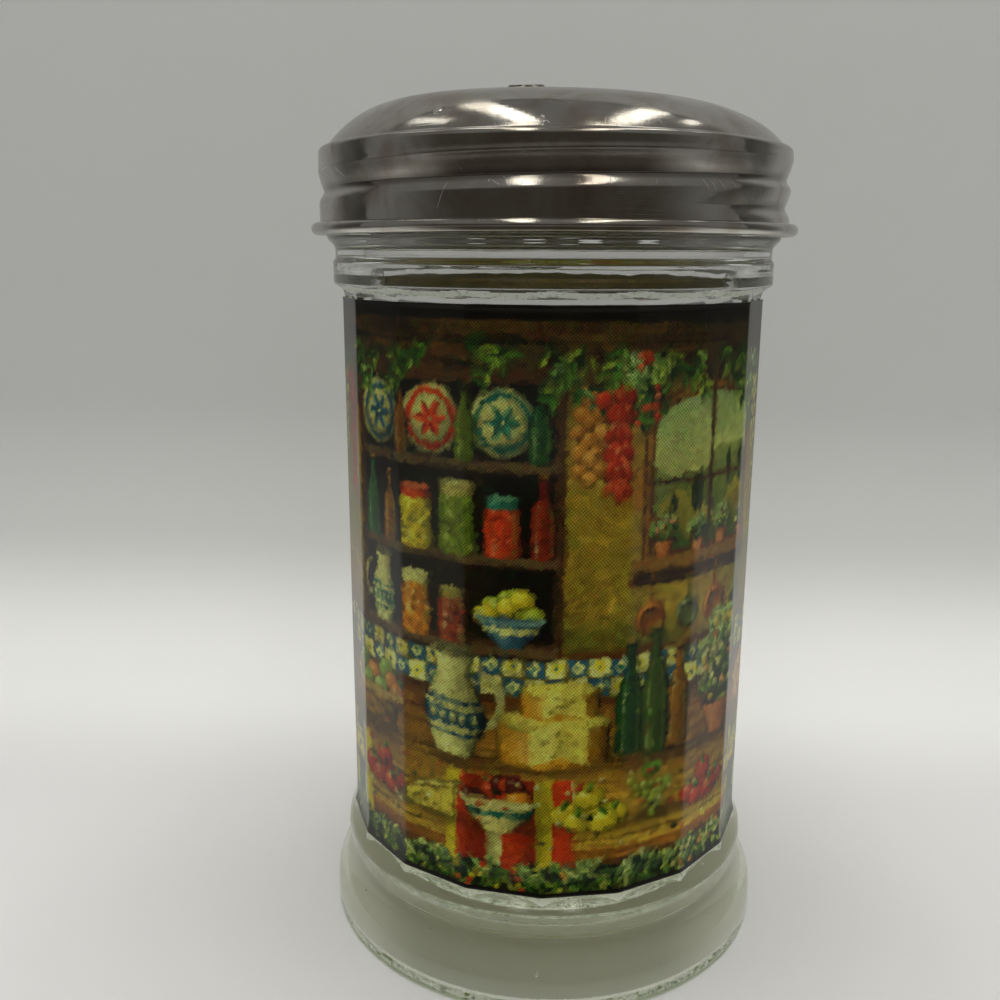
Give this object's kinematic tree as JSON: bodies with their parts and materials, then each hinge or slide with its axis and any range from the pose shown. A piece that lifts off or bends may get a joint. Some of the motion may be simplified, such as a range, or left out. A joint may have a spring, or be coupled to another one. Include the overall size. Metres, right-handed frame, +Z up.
{
  "type": "cheese shaker",
  "caption": "Free-standing panelled glass shaker with a flared foot, a glossy picture wrap and a domed, perforated steel screw cap that lifts off.",
  "frame": {"origin": "centre of the foot, on the surface that the shaker stands on", "axes": "+Z up the jar's axis to the cap's crown, -Y to the pictured front, +X to the right seen from the front"},
  "size_m": [0.0804, 0.0804, 0.1437],
  "materials": {
    "glass": "clear pressed glass with a slight green tint",
    "print": "glossy printed film",
    "steel": "satin drawn stainless steel with light scratches"
  },
  "bodies": {
    "jar": {"glass_jar": "glass", "picture_wrap": "print"},
    "cap": {"screw_cap": "steel"}
  },
  "joints": [
    {"name": "cap_lift", "type": "slide", "parent": "jar", "child": "cap", "axis": [0, 0, 1], "range_m": [0, 0.05]}
  ]
}
